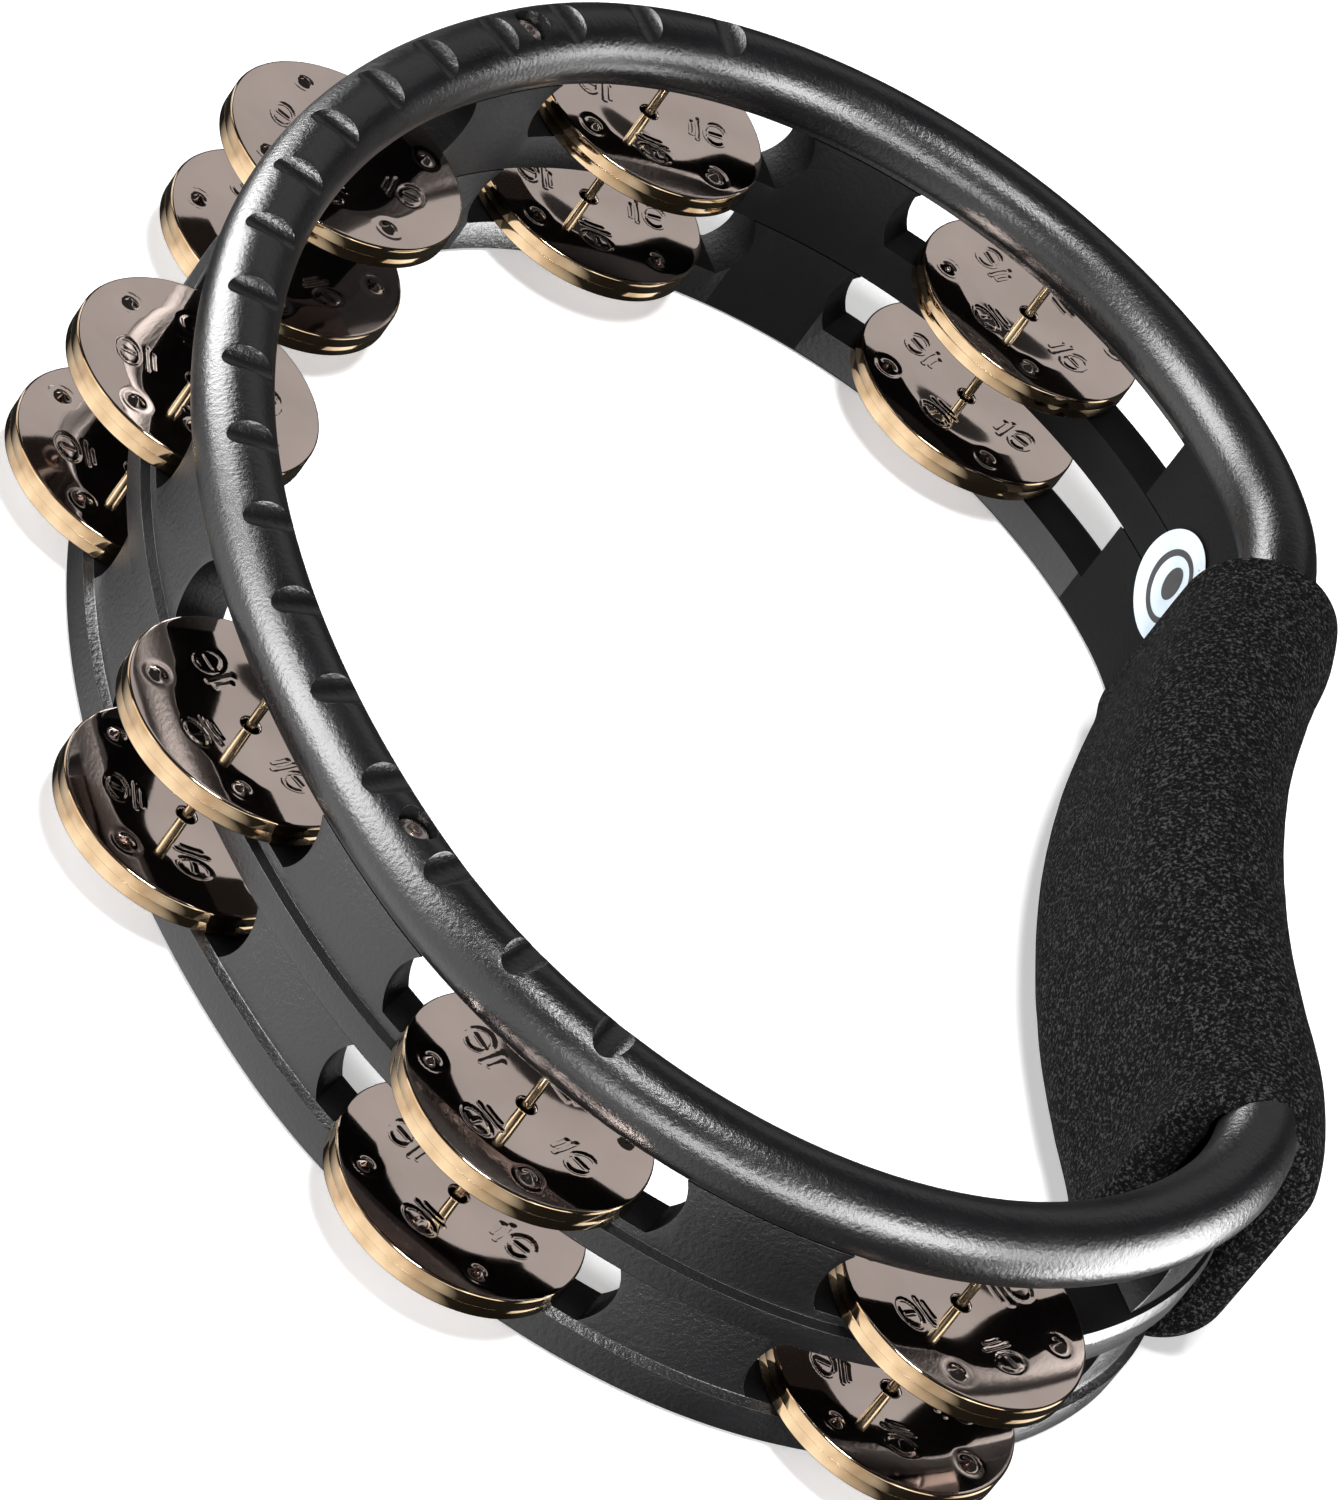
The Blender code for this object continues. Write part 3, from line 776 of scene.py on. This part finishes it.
def face_height(radius, angle):
    """Height of a cap's face above its rim edge: dish, turned edge, dimples and stamped marks."""
    height = JINGLE_HEIGHT
    if radius < DISH_RADIUS:
        share = radius / DISH_RADIUS
        height -= DISH_DEPTH * (1 - share**2) ** 1.5
    x = radius * cos(angle)
    y = radius * sin(angle)
    for degrees in DIMPLES:
        a = radians(degrees)
        from_centre = DIMPLE_PLACE * JINGLE_RADIUS
        away = hypot(x - from_centre * cos(a), y - from_centre * sin(a))
        if away < 3 * DIMPLE_RADIUS:
            height += DIMPLE_HEIGHT * exp(-((away / (0.62 * DIMPLE_RADIUS)) ** 2))
            moat = (away - 1.5 * DIMPLE_RADIUS) / (0.5 * DIMPLE_RADIUS)
            height -= 0.2 * DIMPLE_HEIGHT * exp(-(moat**2))
    for share, degrees in STAMPS:
        a = radians(degrees)
        dx = x - share * JINGLE_RADIUS * cos(a)
        dy = y - share * JINGLE_RADIUS * sin(a)
        if hypot(dx, dy) < STAMP_REACH:
            # The mark's upright points away from the centre.
            u = -dx * sin(a) + dy * cos(a)
            v = dx * cos(a) + dy * sin(a)
            height -= STAMP_DEPTH * exp(-((stamp_distance(u, v) / (0.55 * STAMP_LINE)) ** 2))
    return height


def cap_mesh():
    """One stamped cap. z = 0 is its rim's free edge, and the face is at the top."""
    flat = JINGLE_RADIUS - JINGLE_BEND
    radii = around(HOLE_RADIUS, flat, JINGLE_RINGS)
    under = JINGLE_SHEET
    angles = [2 * pi * i / JINGLE_SIDES for i in range(JINGLE_SIDES)]
    rows = [[(r, face_height(r, angle)) for angle in angles] for r in radii]
    bend = [
        (flat + JINGLE_BEND * sin(a), JINGLE_HEIGHT - JINGLE_BEND * (1 - cos(a)))
        for a in around(pi / 10, pi / 2, 4)
    ]
    lip = 0.015 * MM
    low = -0.45 * PAIR_GAP
    rim = [
        (JINGLE_RADIUS, low + lip),
        (JINGLE_RADIUS - lip * 0.3, low + lip * 0.3),
        (JINGLE_RADIUS - lip, low),
    ]
    inside = [(JINGLE_RADIUS - under, low), (JINGLE_RADIUS - under, JINGLE_HEIGHT - under - 0.3 * MM)]
    inside += [(JINGLE_RADIUS - under - 0.3 * MM, JINGLE_HEIGHT - under)]
    for pair in bend + rim + inside:
        rows.append([pair] * JINGLE_SIDES)
    back = [r for r in reversed(radii) if r < JINGLE_RADIUS - under - 0.6 * MM][::3]
    for r in back:
        share = min(r / DISH_RADIUS, 1.0)
        rows.append([(r, JINGLE_HEIGHT - under - DISH_DEPTH * (1 - share**2) ** 1.5)] * JINGLE_SIDES)
    rows.append([(HOLE_RADIUS, JINGLE_HEIGHT - under - DISH_DEPTH)] * JINGLE_SIDES)
    points = []
    for row in rows:
        points += [(r * cos(angle), r * sin(angle), z) for (r, z), angle in zip(row, angles)]
    faces = []
    for n in range(len(rows)):
        here = n * JINGLE_SIDES
        there = (n + 1) % len(rows) * JINGLE_SIDES
        for i in range(JINGLE_SIDES):
            k = (i + 1) % JINGLE_SIDES
            faces.append((here + i, there + i, there + k, here + k))
    mesh = mesh_of("cap", points, faces)
    mesh.shade_smooth()
    # The second material is for the band from the bend's second row down to the rim's free edge.
    edge_from = len(radii) + 1
    edge_to = len(radii) + len(bend) + len(rim)
    for n in range(edge_from, edge_to):
        for i in range(JINGLE_SIDES):
            mesh.polygons[n * JINGLE_SIDES + i].material_index = 1
    return mesh


def clear_turn(turn, out, dimple):
    """The turn nearest to this one that keeps a cap's four dimples off the ring that it knocks against.

    The first dimple's angle is given as it is on the cap at no turn.
    """
    from_out = (turn + dimple - atan2(out[1], out[0]) * 180 / pi) % 90
    return turn + min(max(from_out, DIMPLE_CLEAR), 90 - DIMPLE_CLEAR) - from_out


def make_jingles(face, edge):
    cap = cap_mesh()
    cap.materials.append(face)
    cap.materials.append(edge)
    rows = (("front", MIDDLE_RING_TOP), ("back", BACK_RIM_HEIGHT))
    for number, along in enumerate(station_places(), 1):
        point, out = from_back(along)
        for row, rim in rows:
            seam = rim + GAP + JINGLE_HEIGHT
            node = f"jingle_{number}_{row}"
            turn = JINGLE_TURNS[number - 1] + (BACK_ROW_TURN if row == "back" else 0)
            for half in ("upper", "lower"):
                mesh = cap.copy()
                flip = Matrix.Rotation(0.0 if half == "upper" else pi, 4, "X")
                clear = clear_turn(turn, out, DIMPLES[0] if half == "upper" else -DIMPLES[0])
                mesh.transform(Matrix.Rotation(radians(clear), 4, "Z") @ flip)
                obj = link(f"cap_{number}_{row}_{half}", mesh)
                obj.location = (*point, seam + (PAIR_GAP if half == "upper" else 0.0))
                finished(obj, f"{node}_{half}", "jingle_metal", f"{node}_{half}")


# --- pins, screws and stickers ----------------------------------------------------------------------


def turned(name, profile, look, location, sides=48):
    """A solid of revolution about Z, from (radius, height) pairs that run down its outer side."""
    points = []
    for r, z in profile:
        points += [(r * cos(2 * pi * i / sides), r * sin(2 * pi * i / sides), z) for i in range(sides)]
    faces = [tuple(range(sides)), tuple(range(len(points) - sides, len(points)))]
    for n in range(len(profile) - 1):
        for i in range(sides):
            k = (i + 1) % sides
            faces.append((n * sides + i, n * sides + k, (n + 1) * sides + k, (n + 1) * sides + i))
    obj = link(name, mesh_of(name, points, faces), look)
    obj.location = location
    obj.data.shade_smooth()
    obj.data.set_sharp_from_angle(angle=radians(40))
    return obj


def make_pins(look):
    lip = 0.2 * MM
    for number, along in enumerate(station_places(), 1):
        point, _ = from_back(along)
        profile = [
            (PIN_RADIUS - lip, PIN_TOP),
            (PIN_RADIUS, PIN_TOP - lip),
            (PIN_RADIUS, PIN_BOTTOM + lip),
            (PIN_RADIUS - lip, PIN_BOTTOM),
        ]
        obj = turned(f"pin_{number}", profile, look, (*point, 0.0), 32)
        finished(obj, FRAME_BODY, "pin_steel", f"jingle_pin_{number}")


def make_screws(look):
    """Domed heads with a round driving recess, sunk in the tube."""
    top = SCREW_SEAT + SCREW_HEAD_HEIGHT
    shank = 1.5 * MM
    shank_end = 14 * MM
    recess = [(0.1 * MM, top - 1.1 * MM), (1.1 * MM, top - 0.9 * MM), (1.35 * MM, top - 0.25 * MM)]
    dome = [
        (SCREW_HEAD_RADIUS * sin(a), SCREW_SEAT + 0.5 * MM + 1.1 * MM * cos(a))
        for a in around(0.55, pi / 2, 10)
    ]
    for number, along in enumerate(screw_places(), 1):
        point, _ = from_back(along)
        profile = recess + dome + [(SCREW_HEAD_RADIUS, SCREW_SEAT), (shank, SCREW_SEAT), (shank, shank_end)]
        obj = turned(f"screw_{number}", profile, look, (*point, 0.0))
        finished(obj, FRAME_BODY, "screw_steel", f"rim_screw_{number}")


def sticker_sheet(name, along, outline_rings, offset, look):
    """A flat shape laid on the wall's inner face. Rings are lists of (along, up) pairs from inside out."""
    points = []
    size = len(outline_rings[0])
    for ring in outline_rings:
        for u, v in ring:
            (x, y), (nx, ny) = from_back(along + u)
            points.append((x + nx * offset, y + ny * offset, STICKER_HEIGHT + v))
    faces = []
    for n in range(len(outline_rings) - 1):
        for i in range(size):
            k = (i + 1) % size
            faces.append((n * size + i, n * size + k, (n + 1) * size + k, (n + 1) * size + i))
    obj = link(name, mesh_of(name, points, faces), look)
    thick = obj.modifiers.new("thick", "SOLIDIFY")
    thick.thickness = SHEET_THICKNESS
    thick.offset = 0.0
    settle(obj)
    obj.data.shade_smooth()
    obj.data.set_sharp_from_angle(angle=radians(40))
    return obj


def circle(radius, squeeze=1.0, middle=(0.0, 0.0), count=72):
    """A circle, or an ellipse whose height is this many times its width."""
    x, z = middle
    return [(x + radius * cos(a), z + radius * squeeze * sin(a)) for a in around(0, 2 * pi, count)[:-1]]


def make_stickers(sheet_look, print_look):
    """A round foil sheet with a made-up printed mark: a ring and a leaf."""
    for number, along in enumerate(STICKER_PLACES, 1):
        face = INNER_FACE - GAP - STICKER_THICKNESS / 2
        rings = [circle(STICKER_RADIUS * share) for share in (0.02, 0.4, 0.75, 0.97, 1.0)]
        sheet = sticker_sheet(f"sticker_{number}", along, rings, face, sheet_look)
        finished(sheet, FRAME_BODY, "foil", f"round_sticker_{number}")
        middle = (0.0, 0.8 * MM)
        marks = [
            [circle(5.6 * MM, 1.1), circle(7.0 * MM, 1.05)],
            [circle(0.05 * MM, 1.0, middle), circle(2.6 * MM, 1.35, middle)],
        ]
        for index, mark in enumerate(marks, 1):
            obj = sticker_sheet(f"sticker_{number}_print_{index}", along, mark, face - PRINT_LIFT, print_look)
            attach(obj, FRAME_BODY)


# --- stage ------------------------------------------------------------------------------------------


def make_stage():
    mesh = bpy.data.meshes.new("floor")
    shape = bmesh.new()
    bmesh.ops.create_grid(shape, x_segments=8, y_segments=8, size=FLOOR_HALF_WIDTH)
    shape.to_mesh(mesh)
    shape.free()
    floor = link("floor", mesh, floor_look())
    floor.location = (0.0, 0.0, FLOOR_HEIGHT)
    floor.visible_glossy = False
    floor.visible_shadow = False


def light(name, place_at, size, power, only=None, aim=(0.0, 0.0, 0.03)):
    """A softbox. It lights only the objects of one collection, if that is given."""
    data = bpy.data.lights.new(name, "AREA")
    data.shape = "RECTANGLE"
    data.size, data.size_y = size
    data.energy = power
    obj = bpy.data.objects.new(name, data)
    obj.location = place_at
    obj.rotation_euler = (Vector(aim) - Vector(place_at)).to_track_quat("-Z", "Y").to_euler()
    bpy.context.scene.collection.objects.link(obj)
    if only:
        obj.light_linking.receiver_collection = only


def make_lights():
    """The world, a lamp and a softbox for everything, and side lights that are strong on the plastic only."""
    glossy = bpy.data.collections.new("lit_strongly")
    others = bpy.data.collections.new("lit_softly")
    for obj in bpy.context.scene.objects:
        if obj.type == "MESH":
            (glossy if obj.name.endswith("_skin") else others).objects.link(obj)
    world = bpy.data.worlds.new("studio")
    bpy.context.scene.world = world
    world.use_nodes = True
    tree = world.node_tree
    # Reflections see a dark room, with a bright table in front and to the left.
    aside = tree.nodes.new("ShaderNodeVectorMath")
    aside.operation = "DOT_PRODUCT"
    aside.inputs[1].default_value = TABLE_SIDE
    tree.links.new(tree.nodes.new("ShaderNodeTexCoord").outputs["Generated"], aside.inputs[0])
    glow = tree.nodes.new("ShaderNodeMapRange")
    glow.inputs["From Min"].default_value, glow.inputs["From Max"].default_value = TABLE_FADE
    glow.inputs["To Min"].default_value = ROOM_GLOW
    glow.inputs["To Max"].default_value = TABLE_GLOW
    tree.links.new(aside.outputs["Value"], glow.inputs["Value"])
    # The backdrop itself is pale.
    seen = tree.nodes.new("ShaderNodeMath")
    seen.operation = "MAXIMUM"
    tree.links.new(tree.nodes.new("ShaderNodeLightPath").outputs["Is Camera Ray"], seen.inputs[0])
    tree.links.new(glow.outputs["Result"], seen.inputs[1])
    tree.links.new(seen.outputs["Value"], tree.nodes["Background"].inputs["Strength"])
    tree.nodes["Background"].inputs["Color"].default_value = (1.0, 1.0, 1.0, 1.0)
    light("top_lamp", (-0.28, -0.80, 2.1), (0.55, 0.55), 58.0)
    light("far_softbox", (0.45, 1.45, 1.05), (1.5, 0.9), 2.4)
    for name, at, size, power in SIDE_LIGHTS:
        light(name + "_softbox", at, size, power, glossy)
        light(name + "_fill", at, size, power * FILL_SHARE, others)
    bpy.context.scene.view_settings.view_transform = "Standard"


def main():
    make_camera(BACK_X)
    satin = plastic("black_abs_satin", 0.42, (0.22, 0.36))
    # A duller copy of the same plastic, painted shade for the inner faces and the slots' ends.
    inner_shade_plastic = plastic("black_abs_painted_shade", 0.07, (0.42, 0.58))
    make_frame(satin, inner_shade_plastic)
    make_foam(foam_look())
    face = metal("black_nickel", *NICKEL, (0.03, 0.09), 60.0)
    edge = metal("jingle_edge", *JINGLE_EDGE, (0.05, 0.13), 75.0)
    make_jingles(face, edge)
    make_pins(metal("yellow_zinc", *YELLOW_ZINC, (0.12, 0.26), 400.0))
    make_screws(metal("screw_steel", *SCREW_STEEL, (0.2, 0.34), 700.0))
    make_stickers(foil(), ink())
    make_stage()
    make_lights()


main()
